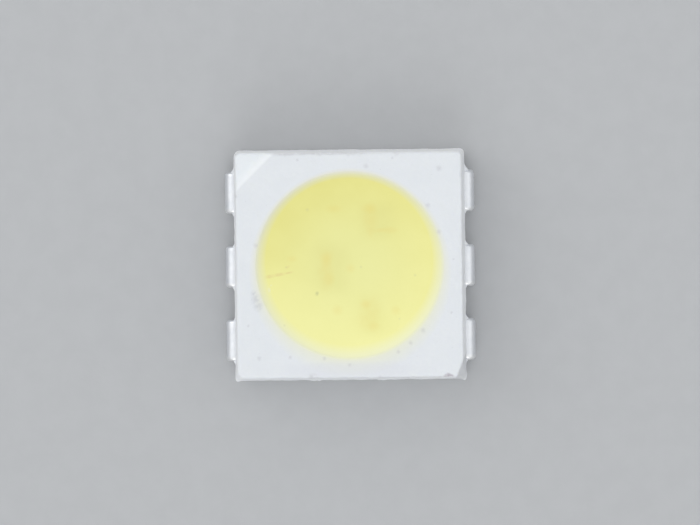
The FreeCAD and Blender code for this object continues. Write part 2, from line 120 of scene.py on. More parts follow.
def loops_to_faces(rings, count, first_cap=None, last_cap=None):
    """Quads between closed rings of count points, stored one ring after another."""
    faces = []
    for i in range(rings - 1):
        a, b = i * count, (i + 1) * count
        for j in range(count):
            k = (j + 1) % count
            faces.append((a + j, a + k, b + k, b + j))
    if first_cap == "ngon":
        faces.append(tuple(range(count - 1, -1, -1)))
    if last_cap == "ngon":
        faces.append(tuple((rings - 1) * count + j for j in range(count)))
    if isinstance(last_cap, int):
        for j in range(count):
            a = (rings - 1) * count
            faces.append((a + j, a + (j + 1) % count, last_cap))
    if isinstance(first_cap, int):
        for j in range(count):
            faces.append(((j + 1) % count, j, first_cap))
    return faces


def face_outwards(ob):
    bm = bmesh.new()
    bm.from_mesh(ob.data)
    bmesh.ops.recalc_face_normals(bm, faces=bm.faces)
    if bm.calc_volume(signed=True) < 0:
        bmesh.ops.reverse_faces(bm, faces=bm.faces)
    bm.to_mesh(ob.data)
    bm.free()
    ob.data.update()


# ------------------------------------------------------------------ housing surface
wobble = Ripple(11, 0.22)
fine = Ripple(12, 0.07)
edge_wear = Ripple(13, 0.12)
slow = Ripple(14, 1.1)

# small damage along the edges: x, y, z, reach along x, y, z, and how deep (minus stands out)
MARKS = [
    (-0.62, 2.48, 1.60, 0.050, 0.05, 0.05, 0.040),
    (-0.50, 2.48, 1.60, 0.040, 0.04, 0.04, 0.018),
    (-0.03, 2.48, 1.60, 0.070, 0.05, 0.06, 0.036),
    (0.09, 2.48, 1.60, 0.030, 0.04, 0.04, 0.016),
    (-1.18, 2.48, 1.60, 0.090, 0.04, 0.05, 0.012),
    (0.62, 2.48, 1.60, 0.060, 0.04, 0.04, 0.010),
    (1.42, 2.48, 1.60, 0.050, 0.04, 0.04, 0.010),
    (-0.80, -2.50, 0.74, 0.110, 0.06, 0.06, -0.030),
    (-0.69, -2.50, 0.76, 0.035, 0.06, 0.05, -0.026),
    (0.70, -2.50, 0.73, 0.090, 0.06, 0.05, -0.026),
    (0.60, -2.50, 0.75, 0.030, 0.06, 0.05, -0.018),
    (1.72, -2.48, 1.60, 0.180, 0.05, 0.06, 0.010),
    (-2.46, -2.50, 0.76, 0.060, 0.06, 0.06, -0.030),
    (2.46, -2.50, 0.78, 0.050, 0.05, 0.05, -0.030), (2.50, -2.40, 0.79, 0.040, 0.05, 0.04, -0.018),
    (2.16, -2.46, 1.60, 0.050, 0.05, 0.06, 0.022), (2.50, 2.28, 1.30, 0.050, 0.05, 0.30, 0.012),
    (2.50, 2.36, 1.56, 0.040, 0.04, 0.05, 0.014), (2.50, -2.10, 0.90, 0.040, 0.05, 0.05, -0.014),
    (-2.47, 2.47, 1.50, 0.050, 0.05, 0.08, 0.014),
    (2.47, 2.47, 1.60, 0.050, 0.05, 0.06, 0.018),
    (2.48, 0.78, 1.60, 0.04, 0.060, 0.05, 0.012),
    (2.48, -1.06, 1.60, 0.04, 0.040, 0.04, 0.014),
    (-2.48, -0.55, 1.60, 0.04, 0.060, 0.04, 0.010),
    (-2.48, -1.98, 1.60, 0.04, 0.040, 0.04, 0.010),
]


def top_height(x, y):
    """Height of the top face, with the polarity mark's flat and ramp."""
    d = (y - x) * ROOT_HALF
    ramp = TOP - (d - MARK_EDGE + 0.032) * (MARK_DEPTH / (MARK_RUN + 0.052))
    z = smin(np.full_like(d, TOP), smax(ramp, np.full_like(d, TOP - MARK_DEPTH), 0.045), 0.045)
    return z


# the webs beside the leads: (side, row, towards +Y or -Y) -> how far out, how wide at the root
WEBS = {
    (-1, 1, 1): (0.072, 0.13), (-1, 1, -1): (0.040, 0.09), (-1, 0, 1): (0.045, 0.07),
    (-1, 0, -1): (0.052, 0.10), (-1, -1, 1): (0.040, 0.07), (-1, -1, -1): (0.050, 0.09),
    (1, 1, 1): (0.092, 0.15), (1, 1, -1): (0.042, 0.07), (1, 0, 1): (0.072, 0.12),
    (1, 0, -1): (0.038, 0.07), (1, -1, 1): (0.066, 0.11), (1, -1, -1): (0.045, 0.08),
}


def shift_of(side, row):
    return next(LEAD_SHIFT[n] for n, r in LEAD_ROWS.items() if r == row and (n <= 3) == (side < 0))


def web_out(x, y, z):
    """How far the moulded webs beside the leads stand out of the side walls."""
    shape = np.broadcast(x, y, z).shape
    out = np.zeros(shape)
    height = step(0.640, 0.662, z) * (1 - step(0.782, 0.808, z))
    for (sx, row, hand), (far, root) in WEBS.items():
        a = (y - PITCH * row - shift_of(sx, row)) * hand
        fall = np.clip(1 - (a - 0.45) / root, 0, 1) ** 1.6
        fall = np.where((a > 0.42) & (np.sign(x) == sx), fall, 0.0)
        out = np.maximum(out, far * fall * height)
    return out


def solid(x, y, z):
    """Below zero inside the housing's outer form, above zero outside, about a distance in millimetres."""
    inward = np.where(z > BAND_TOP, (z - BAND_TOP) * TAN_TOP, np.where(z < BAND_LOW, (BAND_LOW - z) * TAN_LOW, 0.0))
    flash = 0.005 * np.exp(-(((z - BAND_TOP) / 0.016) ** 2)) * (1 + 0.6 * wobble(x, y, 0 * z))
    fx = np.abs(x) - (HALF - inward) - web_out(x, y, z) - flash
    fy = np.abs(y) - (HALF - inward) - flash + 0.014 * (y > 0)
    round_off = 0.085 + 0.09 * step(1.0, 1.5, z) * step(1.8, 2.2, -x) * step(1.8, 2.2, -y) + 0.03 * step(1.8, 2.2, x) * step(1.8, 2.2, y) + 0.06 * step(1.8, 2.2, -x) * step(1.8, 2.2, y)
    f = smax(fx, fy, round_off)
    clip = (x * CLIP_N[0] + y * CLIP_N[1]) - (CLIP_LOW + (CLIP_TOP - CLIP_LOW) * (z - BAND_TOP) / (TOP - BAND_TOP))
    clip = clip + 0.0035 * wobble(x * 0.7, y * 0.7, z * 0.5 + 4)
    f = smax(f, np.where(z > BAND_TOP - 0.02, clip, clip - 0.3 * (BAND_TOP - 0.02 - z)), 0.014)
    top = (z - top_height(x, y)) * 0.999
    soft = 0.036 + 0.024 * step(1.5, 2.4, y) + 0.014 * step(1.6, 2.4, -x) * (1 - step(1.5, 2.4, y)) + 0.012 * step(1.6, 2.4, -y)
    f = smax(f, top, soft)
    f = smax(f, UNDER - z, 0.045)
    f = f + 0.0016 * wobble(x, y, z) + 0.0007 * fine(x, y, z)
    near_top = np.exp(-(((np.maximum(fx, fy)) / 0.05) ** 2)) * np.exp(-((top / 0.05) ** 2))
    f = f + near_top * 0.0050 * np.maximum(0.45 + edge_wear(x, y, z * 0.3), 0)
    # the back edge is worn over a stretch
    worn = step(-1.60, -1.50, x) * (1 - step(0.26, 0.40, x)) * (y > 0)
    f = f + near_top * worn * (0.010 + 0.004 * wobble(x * 2, y, z))
    for mx, my, mz, rx, ry, rz, depth in MARKS:
        e = ((x - mx) / rx) ** 2 + ((y - my) / ry) ** 2 + ((z - mz) / rz) ** 2
        f = f + depth * np.exp(-e * 1.2)
    return f


def cast(o, d, far=0.75, rounds=24):
    """Where rays from points o (inside) along d meet the surface."""
    lo, hi = np.zeros(o.shape[:-1]), np.full(o.shape[:-1], far)
    for _ in range(rounds):
        mid = (lo + hi) / 2
        p = o + d * mid[..., None]
        inside = solid(p[..., 0], p[..., 1], p[..., 2]) < 0
        lo, hi = np.where(inside, mid, lo), np.where(inside, hi, mid)
    return o + d * ((lo + hi) / 2)[..., None]


def housing_mesh():
    core = 2.2
    # stations along one side, with pairs of stations where the shape steps
    def stations(extra):
        s = list(np.linspace(-core, core, 165))
        for e in extra:
            s = [v for v in s if abs(v - e) > 0.009] + [e]
        return np.array(sorted(s))

    web = []
    for row in (1, 0, -1):
        for hand in (1, -1):
            web += [PITCH * row + hand * v for v in (0.415, 0.425, 0.46, 0.49, 0.52, 0.55, 0.58)]
    cut_edges = [1.615, 1.765]
    turn = np.linspace(-1, 1, 31)[1:-1]
    fan = np.radians(45 + 45 * np.sign(turn) * np.abs(turn) ** 1.5)
    o2, d2 = [], []

    def side(points, direction):
        for p in points:
            o2.append(p)
            d2.append(direction)

    def corner(cx, cy, start):
        for a in fan:
            o2.append((cx, cy))
            d2.append((math.cos(start + a), math.sin(start + a)))

    right = [v for v in stations(web + [-2.095])]
    left = [v for v in stations(web + cut_edges)]
    back = [v for v in stations([-v for v in cut_edges])]
    front = [v for v in stations([2.2])]
    side([(core, v) for v in right], (1, 0))
    corner(core, core, 0)
    side([(v, core) for v in back[::-1]], (0, 1))
    corner(-core, core, math.pi / 2)
    side([(-core, v) for v in left[::-1]], (-1, 0))
    corner(-core, -core, math.pi)
    side([(v, -core) for v in front], (0, -1))
    corner(core, -core, 1.5 * math.pi)
    o2, d2 = np.array(o2, float), np.array(d2, float)
    n = len(o2)

    def at(z, o=o2):
        return np.column_stack([o, np.full(n, z)]) if np.isscalar(z) else np.column_stack([o, z])

    flat = np.column_stack([d2, np.zeros(n)])
    up = np.tile([0, 0, 1.0], (n, 1))
    # the wall's own place just under the top edge
    reach = cast(at(1.42), flat)[:, :2]
    depth = 0.075
    shoulder = reach - d2 * depth
    level = top_height(shoulder[:, 0], shoulder[:, 1])
    # near the clipped corner the facet leans in, so the shoulder is found again higher up
    for _ in range(3):
        reach = cast(np.column_stack([o2, level - 0.06]), flat)[:, :2]
        shoulder = reach - d2 * depth
        level = top_height(shoulder[:, 0], shoulder[:, 1])
    origin = np.column_stack([shoulder, level - depth])
    rings = []
    # cup: floor, wall, rounded rim
    ang = np.arctan2(reach[:, 1], reach[:, 0])
    ca, sa = np.cos(ang), np.sin(ang)
    lip = 0.0030 * wobble(2 * ca, 2 * sa, 0 * ca + 9)

    def ring_at(r, z, wave=0.0):
        rr = r + wave * lip
        return np.column_stack([rr * ca, rr * sa, np.full(n, z) if np.isscalar(z) else z])

    rings.append(ring_at(0.7, BAND_TOP))
    rings.append(ring_at(1.4, BAND_TOP))
    rings.append(ring_at(CUP_FLOOR, BAND_TOP))
    for z in (1.1, 1.4, 1.50):
        rings.append(ring_at(CUP_FLOOR + 0.35 * (z - BAND_TOP), z, (z - 1.1) / 0.5))
    for a in np.radians(np.linspace(160.7, 90, 12)):
        rings.append(ring_at(RIM_R + RIM_ROUND * math.cos(a), TOP - RIM_ROUND + RIM_ROUND * math.sin(a), 1.0))
    # top face, from the rim out to the edge
    start = ring_at(RIM_R, TOP, 1.0)[:, :2]
    for t in np.linspace(0, 1, 38)[1:]:
        t = t + 0.06 * math.sin(math.pi * t)
        t = min(t, 1.0)
        xy = start * (1 - t) + shoulder * t
        z = top_height(xy[:, 0], xy[:, 1])
        z = z - 0.0012 * wobble(xy[:, 0], xy[:, 1], z) - 0.0010 * slow(xy[:, 0], xy[:, 1], z)
        r = np.hypot(xy[:, 0], xy[:, 1])
        z = z - 0.0012 * fine(xy[:, 0], xy[:, 1], z) * step(2.03, 2.1, r)
        rings.append(np.column_stack([xy, z]))
    # over the top edge
    for phi in np.radians([78, 66, 56, 47, 38, 28, 16, 4]):
        d = flat * math.cos(phi) + up * math.sin(phi)
        rings.append(cast(origin, d, far=0.4))
    # down the wall
    z0 = origin[:, 2]
    for t in (0.12, 0.26, 0.42, 0.58, 0.74, 0.88):
        rings.append(cast(at(z0 + (0.822 - z0) * t), flat))
    for z in (0.822, 0.810, 0.800, 0.790, 0.770, 0.725, 0.680, 0.662, 0.650, 0.638, 0.60, 0.50, 0.38, 0.26, 0.18, 0.115):
        rings.append(cast(at(z), flat))
    low = cast(at(0.12), flat)[:, :2] - d2 * 0.07
    origin_low = np.column_stack([low, np.full(n, 0.12)])
    for phi in np.radians([-14, -30, -44, -56, -70, -88]):
        d = flat * math.cos(phi) + up * math.sin(phi)
        rings.append(cast(origin_low, d, far=0.3))
    for k in (0.985, 0.95):
        rings.append(np.column_stack([low * k, np.full(n, UNDER)]))
    verts = np.vstack(rings)
    faces = loops_to_faces(len(rings), n, last_cap="ngon")
    centre = len(verts)
    verts = np.vstack([verts, [[0, 0, BAND_TOP]]])
    faces += [((j + 1) % n, j, centre) for j in range(n)]
    return mesh_object("housing_body", verts, faces)


def box_cutter(name, lo, hi):
    bm = bmesh.new()
    bmesh.ops.create_cube(bm, size=1.0)
    for v in bm.verts:
        for i in range(3):
            v.co[i] = (lo[i] if v.co[i] < 0 else hi[i]) * MM
    # soft inner edges along the pocket's roof
    roof = [e for e in bm.edges if all(abs(v.co.z - hi[2] * MM) < 1e-9 for v in e.verts)]
    bmesh.ops.bevel(bm, geom=roof, offset=0.018 * MM, segments=3, affect="EDGES", profile=0.5)
    me = bpy.data.meshes.new(name)
    bm.to_mesh(me)
    bm.free()
    ob = bpy.data.objects.new(name, me)
    scene.collection.objects.link(ob)
    return ob


def apply_all(ob):
    dg = bpy.context.evaluated_depsgraph_get()
    me = bpy.data.meshes.new_from_object(ob.evaluated_get(dg))
    ob.modifiers.clear()
    ob.data = me


housing = housing_mesh()
face_outwards(housing)
cutters = []
for s in (-1, 1):
    for row in (1, 0, -1):
        x0, x1 = sorted((s * 1.57, s * 2.62))
        c = box_cutter(
            f"pocket_tool_{s + 1}{row + 1}",
            (x0, PITCH * row + shift_of(s, row) - 0.48, -0.1),
            (x1, PITCH * row + shift_of(s, row) + 0.48, 0.18),
        )
        cutters.append(c)
for c in cutters:
    m = housing.modifiers.new("pocket", "BOOLEAN")
    m.operation = "DIFFERENCE"
    m.solver = "EXACT"
    m.object = c
bpy.context.view_layer.update()
apply_all(housing)
for c in cutters:
    bpy.data.objects.remove(c)
housing.data.polygons.foreach_set("use_smooth", [True] * len(housing.data.polygons))
housing.data.set_sharp_from_angle(angle=math.radians(38))

# ------------------------------------------------------------------ phosphor gel
gel_wave = Ripple(31, 0.5)
gel_slow = Ripple(32, 2.2)


def gel_edge(a):
    """Radius, height and slope where the gel meets the rim's rounding. It climbs further towards the front right."""
    near = 0.5 + 0.5 * np.cos(a + 1.15)
    meet = np.radians(119 - 15 * near + 1.5 * np.sin(3 * a + 0.4) + 1.0 * np.sin(7 * a + 2.0))
    return RIM_R + RIM_ROUND * np.cos(meet), TOP - RIM_ROUND + RIM_ROUND * np.sin(meet), np.tan(meet - math.pi / 2)


def gel_height(x, y):
    """The gel's open face: a shallow dish that climbs the cup's rim as a thin fillet."""
    r = np.hypot(x, y)
    edge_r, edge_z, slope = gel_edge(np.arctan2(y, x))
    dish = 1.516 + 0.038 * (r / 1.97) ** 2.2
    climb = edge_z - (1.516 + 0.038 * (edge_r / 1.97) ** 2.2)
    z = dish + climb * np.exp(-np.maximum(edge_r - r, 0) / (climb / slope))
    return z + (0.0010 * gel_wave(x, y, 0 * x) + 0.0020 * gel_slow(x, y, 0 * x)) * (1 - step(1.70, 1.94, r))


def gel_mesh():
    n = 360
    a = np.linspace(0, 2 * math.pi, n, endpoint=False)
    edge_r, edge_z, _ = gel_edge(a)
    inner = list(np.linspace(0.05, 1.80, 44))
    rings = []
    for r in inner:
        x, y = r * np.cos(a), r * np.sin(a)
        rings.append(np.column_stack([x, y, gel_height(x, y)]))
    for t in np.linspace(0, 1, 20)[1:] ** 0.7:
        r = 1.80 + (edge_r - 1.80) * t
        x, y = r * np.cos(a), r * np.sin(a)
        rings.append(np.column_stack([x, y, gel_height(x, y)]))
    # its margin and side sit just inside the housing's plastic
    for out, down in ((0.006, 0.0030), (0.004, 0.020)):
        r = edge_r + out
        rings.append(np.column_stack([r * np.cos(a), r * np.sin(a), edge_z - down]))
    for z in (1.53, 1.2, 0.85):
        r = CUP_FLOOR + 0.35 * (z - BAND_TOP) + 0.003
        rings.append(np.column_stack([r * np.cos(a), r * np.sin(a), np.full(n, z)]))
    for r in (1.722, 1.2, 0.6):
        rings.append(np.column_stack([r * np.cos(a), r * np.sin(a), np.full(n, BAND_TOP + 0.0005)]))
    verts = np.vstack(rings)
    top, bottom = len(verts), len(verts) + 1
    verts = np.vstack([verts, [[0, 0, gel_height(np.array(0.0), np.array(0.0))]], [[0, 0, BAND_TOP + 0.0005]]])
    faces = loops_to_faces(len(rings), n, first_cap=top, last_cap=bottom)
    return mesh_object("phosphor_gel_fill", verts, faces, sharp=60)


gel = gel_mesh()
face_outwards(gel)


# ------------------------------------------------------------------ leads
def lead_mesh(number):
    row = LEAD_ROWS[number]
    s = -1 if number <= 3 else 1
    long_pad = number in (2, 4, 6)
    ripple = Ripple(50 + number, 0.16)
    rng = np.random.default_rng(70 + number)
    w = LEAD_W / 2 - (0.007 if s < 0 else 0.0)
    if row:
        end = -0.02 if long_pad else 0.20
        out_y, in_y = 0.25 * row, -1.01 * row
        pad_lo, pad_hi = min(out_y, in_y), max(out_y, in_y)
    else:
        end = 0.24 if long_pad else -0.06
        pad_lo, pad_hi = -0.44, 0.44
    # centre line stations: (x, z, direction x, direction z, low y, high y), in the +X sense
    t = LEAD_T / 2
    rows = []

    def width_at(x):
        if x >= 2.20:
            return -w, w
        k = min((2.20 - x) / 0.18, 1.0)
        lo, hi = -w + (pad_lo + w) * k, w + (pad_hi - w) * k
        tip = x - end
        if tip < 0.10:
            lo, hi = lo + (0.10 - tip), hi - (0.10 - tip)
        return lo, hi

    xs = [end, end + 0.02, end + 0.05, end + 0.10]
    xs += list(np.linspace(end + 0.14, 2.0, 8)) + [2.02, 2.06, 2.12, 2.20, 2.24, 2.32, 2.40, 2.45, 2.48]
    for x in xs:
        rows.append((x, BAND_LOW + t, 1, 0) + width_at(x))
    rm = 0.05 + t
    for a in np.linspace(90, 0, 15):
        a = math.radians(a)
        rows.append((2.5 + rm * math.cos(a), 0.60 + rm * math.sin(a), math.sin(a), -math.cos(a), -w, w))
    for z in np.linspace(0.60, 0.20, 9)[1:-1]:
        rows.append((2.5 + rm, z, 0, -1, -w, w))
    for a in np.linspace(0, -90, 15):
        a = math.radians(a)
        rows.append((2.5 + rm * math.cos(a), 0.20 + rm * math.sin(a), math.sin(a), -math.cos(a), -w, w))
    for x in list(np.linspace(2.5, 1.65, 15))[1:] + [1.63, 1.615, 1.605]:
        rows.append((x, t, -1, 0, -w, w))
    rows = np.array(rows, float)
    # section: the edges of the stamped (outer) face roll over, more on one side, and the other face is crisp
    vary = rng.uniform(0.85, 1.15, 2)
    corners = []
    for cy, cz, ry, rh, a0 in (
        (1, 1, (0.095 if s > 0 else 0.060) * vary[0], 0.085 if s > 0 else 0.055, 0),
        (-1, 1, 0.078 * vary[1], 0.085, 90),
        (-1, -1, 0.012, 0.012, 180),
        (1, -1, 0.012, 0.012, 270),
    ):
        for a in np.radians(np.linspace(a0, a0 + 90, 9)):
            corners.append((cy, cz, ry, rh, math.cos(a), math.sin(a)))
    flat_stations = 13
    verts = []
    section = []
    for i in range(4):
        block = corners[i * 9 : (i + 1) * 9]
        section += [("c",) + c for c in block]
        nxt = corners[((i + 1) % 4) * 9]
        if i in (0, 2):
            for u in np.linspace(0, 1, flat_stations)[1:-1]:
                section.append(("f", block[-1], nxt, u))
        else:
            section.append(("f", block[-1], nxt, 0.5))
    count = len(section)
    for i, (x, z, dx, dz, lo, hi) in enumerate(rows):
        nx, nz = -dz, dx  # outward face of the strip
        mid, half = (lo + hi) / 2, (hi - lo) / 2
        shrink = 0.0
        if i == len(rows) - 1:
            shrink = 0.006
        for q in section:
            def spot(c):
                cy, cz, ry, rh, cc, ss = c
                return mid + cy * (half - ry - shrink) + ry * cc, cz * (t - rh - shrink) + rh * ss

            if q[0] == "c":
                y, h = spot(q[1:])
            else:
                _, a, b, u = q
                (ya, ha), (yb, hb) = spot(a), spot(b)
                y, h = ya + (yb - ya) * u, ha + (hb - ha) * u
            verts.append((x + nx * h, y, z + nz * h))
    verts = np.array(verts)
    # drawn and bent metal isn't quite true: the sides bulge at the bend and the faces ripple
    x, y, z = verts.T
    bend = np.exp(-(((x - 2.62) / 0.10) ** 2)) * (np.exp(-(((z - 0.70) / 0.12) ** 2)) + np.exp(-(((z - 0.08) / 0.10) ** 2)))
    y = y * (1 + 0.010 * bend) + 0.0018 * ripple(x, 0 * y, z) * (np.abs(y) > 0.40)
    keep = step(0.02, 0.06, z)  # the sole stays flat
    verts = np.column_stack([
        x + 0.0012 * ripple(x, y, z) * keep,
        y,
        z + 0.0012 * ripple(z, x, y) * keep * step(2.45, 2.5, x),
    ])
    # mirrored to its side and moved to its row
    verts[:, 0] *= s
    verts[:, 1] += PITCH * row + LEAD_SHIFT[number]
    faces = loops_to_faces(len(rows), count, first_cap="ngon", last_cap="ngon")
    ob = mesh_object(f"formed_lead_{number}", verts, faces)
    face_outwards(ob)
    ob.data.polygons.foreach_set("use_smooth", [True] * len(ob.data.polygons))
    ob.data.set_sharp_from_angle(angle=math.radians(42))
    return ob


leads = {n: lead_mesh(n) for n in LEAD_ROWS}


# ------------------------------------------------------------------ materials
class Graph:
    """A short way to write a node tree. Positions in it are object coordinates in millimetres."""

    def __init__(self, name):
        self.mat = bpy.data.materials.new(name)
        self.mat.use_nodes = True
        self.t = self.mat.node_tree
        self.t.nodes.clear()
        self.out = self.t.nodes.new("ShaderNodeOutputMaterial")
        self.bsdf = self.t.nodes.new("ShaderNodeBsdfPrincipled")
        self.t.links.new(self.bsdf.outputs[0], self.out.inputs["Surface"])
        tc = self.t.nodes.new("ShaderNodeTexCoord")
        self.p = self.vec("SCALE", tc.outputs["Object"], scale=1000.0)
        xyz = self.t.nodes.new("ShaderNodeSeparateXYZ")
        self.t.links.new(self.p, xyz.inputs[0])
        self.x, self.y, self.z = xyz.outputs[0], xyz.outputs[1], xyz.outputs[2]
        faces = self.t.nodes.new("ShaderNodeSeparateXYZ")
        self.t.links.new(self.t.nodes.new("ShaderNodeNewGeometry").outputs["Normal"], faces.inputs[0])
        self.faces_up = faces.outputs[2]

    def put(self, socket, value):
        if isinstance(value, bpy.types.NodeSocket):
            self.t.links.new(value, socket)
        else:
            socket.default_value = value

    def vec(self, op, a, b=None, scale=None):
        n = self.t.nodes.new("ShaderNodeVectorMath")
        n.operation = op
        self.put(n.inputs[0], a)
        if b is not None:
            self.put(n.inputs[1], b)
        if scale is not None:
            n.inputs["Scale"].default_value = scale
        return n.outputs["Value"] if op in ("LENGTH", "DISTANCE", "DOT_PRODUCT") else n.outputs[0]

    def math(self, op, a, b=None, c=None, clamp=False):
        n = self.t.nodes.new("ShaderNodeMath")
        n.operation = op
        n.use_clamp = clamp
        for i, v in enumerate((a, b, c)):
            if v is not None:
                self.put(n.inputs[i], v)
        return n.outputs[0]

    def step(self, value, lo, hi, out_lo=0.0, out_hi=1.0, kind="SMOOTHSTEP"):
        n = self.t.nodes.new("ShaderNodeMapRange")
        n.interpolation_type = kind
        self.put(n.inputs["Value"], value)
        n.inputs["From Min"].default_value = lo
        n.inputs["From Max"].default_value = hi
        n.inputs["To Min"].default_value = out_lo
        n.inputs["To Max"].default_value = out_hi
        return n.outputs[0]

    def noise(self, size, detail=3.0, rough=0.5, at=None, distort=0.0):
        """size is the feature size in millimetres."""
        n = self.t.nodes.new("ShaderNodeTexNoise")
        self.put(n.inputs["Vector"], self.p if at is None else at)
        n.inputs["Scale"].default_value = 1.0 / size
        n.inputs["Detail"].default_value = detail
        n.inputs["Roughness"].default_value = rough
        n.inputs["Distortion"].default_value = distort
        return n.outputs[0]

    def mix(self, factor, a, b, blend="MIX"):
        n = self.t.nodes.new("ShaderNodeMix")
        n.data_type = "RGBA"
        n.blend_type = blend
        self.put(n.inputs[0], factor)
        self.put(n.inputs[6], a if isinstance(a, bpy.types.NodeSocket) else (*a, 1.0))
        self.put(n.inputs[7], b if isinstance(b, bpy.types.NodeSocket) else (*b, 1.0))
        return n.outputs[2]

    def stretched(self, x, y, z):
        return self.vec("MULTIPLY", self.p, (x, y, z))

    def ragged(self, size, amount):
        """Positions pushed about by noise, so that spots drawn at them aren't round."""
        n = self.t.nodes.new("ShaderNodeTexNoise")
        self.put(n.inputs["Vector"], self.p)
        n.inputs["Scale"].default_value = 1.0 / size
        n.inputs["Detail"].default_value = 1.0
        shift = self.vec("SCALE", self.vec("SUBTRACT", n.outputs[1], (0.5, 0.5, 0.5)), scale=amount)
        return self.vec("ADD", self.p, shift)

    def spot(self, x, y, radius, soft=0.6, squash=(1.0, 1.0), at=None):
        """1 inside a round spot on the upper side, falling to 0 at its radius."""
        d = self.vec("SUBTRACT", self.p if at is None else at, (x, y, 0.0))
        d = self.vec("MULTIPLY", d, (squash[0], squash[1], 0.0))
        return self.step(self.vec("LENGTH", d), radius * (1 - soft), radius * (1 + soft * 0.4), 1.0, 0.0)

    def stroke(self, a, b, width):
        """1 along the line from a to b on the upper side, falling to 0 at its width."""
        ax, ay, bx, by = *a, *b
        length = math.hypot(bx - ax, by - ay)
        ux, uy = (bx - ax) / length, (by - ay) / length
        d = self.vec("SUBTRACT", self.p, (ax, ay, 0.0))
        along = self.vec("DOT_PRODUCT", d, (ux, uy, 0.0))
        across = self.math("ABSOLUTE", self.vec("DOT_PRODUCT", d, (-uy, ux, 0.0)))
        ends = self.math("MULTIPLY", self.step(along, -width, width * 2), self.step(along, length - width * 3, length + width, 1.0, 0.0))
        return self.math("MULTIPLY", ends, self.step(across, width * 0.2, width, 1.0, 0.0))

    def most(self, items):
        out = items[0]
        for i in items[1:]:
            out = self.math("MAXIMUM", out, i)
        return out

    def bump(self, height, distance, strength=1.0, under=None):
        n = self.t.nodes.new("ShaderNodeBump")
        n.inputs["Strength"].default_value = strength
        n.inputs["Distance"].default_value = distance * MM
        self.put(n.inputs["Height"], height)
        if under is not None:
            self.put(n.inputs["Normal"], under)
        return n.outputs[0]


def rim_fade(g, yellow, white):
    """The gel thins out over the rim and the rim takes on its colour. Wider towards the front. Its colours are painted
    paler on the front side and darker at the back, as painted light and shade.
    """
    r = g.vec("LENGTH", g.vec("MULTIPLY", g.p, (1.0, 1.0, 0.0)))
    front = g.math("DIVIDE", g.vec("DOT_PRODUCT", g.p, (0.10, -0.995, 0.0)), r)
    front = g.math("MULTIPLY_ADD", front, 0.5, 0.5)
    lit = g.math("DIVIDE", g.vec("DOT_PRODUCT", g.p, (0.20, -0.98, 0.0)), r)
    lit = g.math("MULTIPLY_ADD", lit, 0.5, 0.5)
    # painted light and shade: paler towards the front, darker towards the back
    middle = g.mix(lit, (0.748, 0.732, 0.440), (0.905, 0.900, 0.555))
    tint = g.mix(lit, (0.782, 0.778, 0.705), (0.812, 0.815, 0.655))
    inner = g.t.nodes.new("ShaderNodeMapRange")
    g.put(inner.inputs["Value"], r)
    g.put(inner.inputs["From Min"], g.math("MULTIPLY_ADD", front, -0.13, 1.865))
    inner.inputs["From Max"].default_value = 1.965
    spread = g.math("SUBTRACT", r, g.math("MULTIPLY", lit, 0.028))
    across = g.step(spread, 1.960, 2.040, 0.0, 1.0, "LINEAR")
    outer = g.t.nodes.new("ShaderNodeMapRange")
    g.put(outer.inputs["Value"], r)
    g.put(outer.inputs["From Min"], g.math("MULTIPLY_ADD", lit, 0.020, 2.032))
    g.put(outer.inputs["From Max"], g.math("MULTIPLY_ADD", g.math("POWER", front, 2.0), 0.34, 2.105))
    if white is None:
        white = (0.778, 0.798, 0.818)
    rim = g.mix(g.math("POWER", outer.outputs[0], 0.80), g.mix(across, middle, tint), white)
    if yellow is None:
        return g.mix(g.step(g.z, 1.50, 1.56), white, rim), r
    return g.mix(inner.outputs[0], yellow, rim), r


def only_up(g, factor, low=1.44, high=1.50):
    return g.math("MULTIPLY", factor, g.step(g.z, low, high))


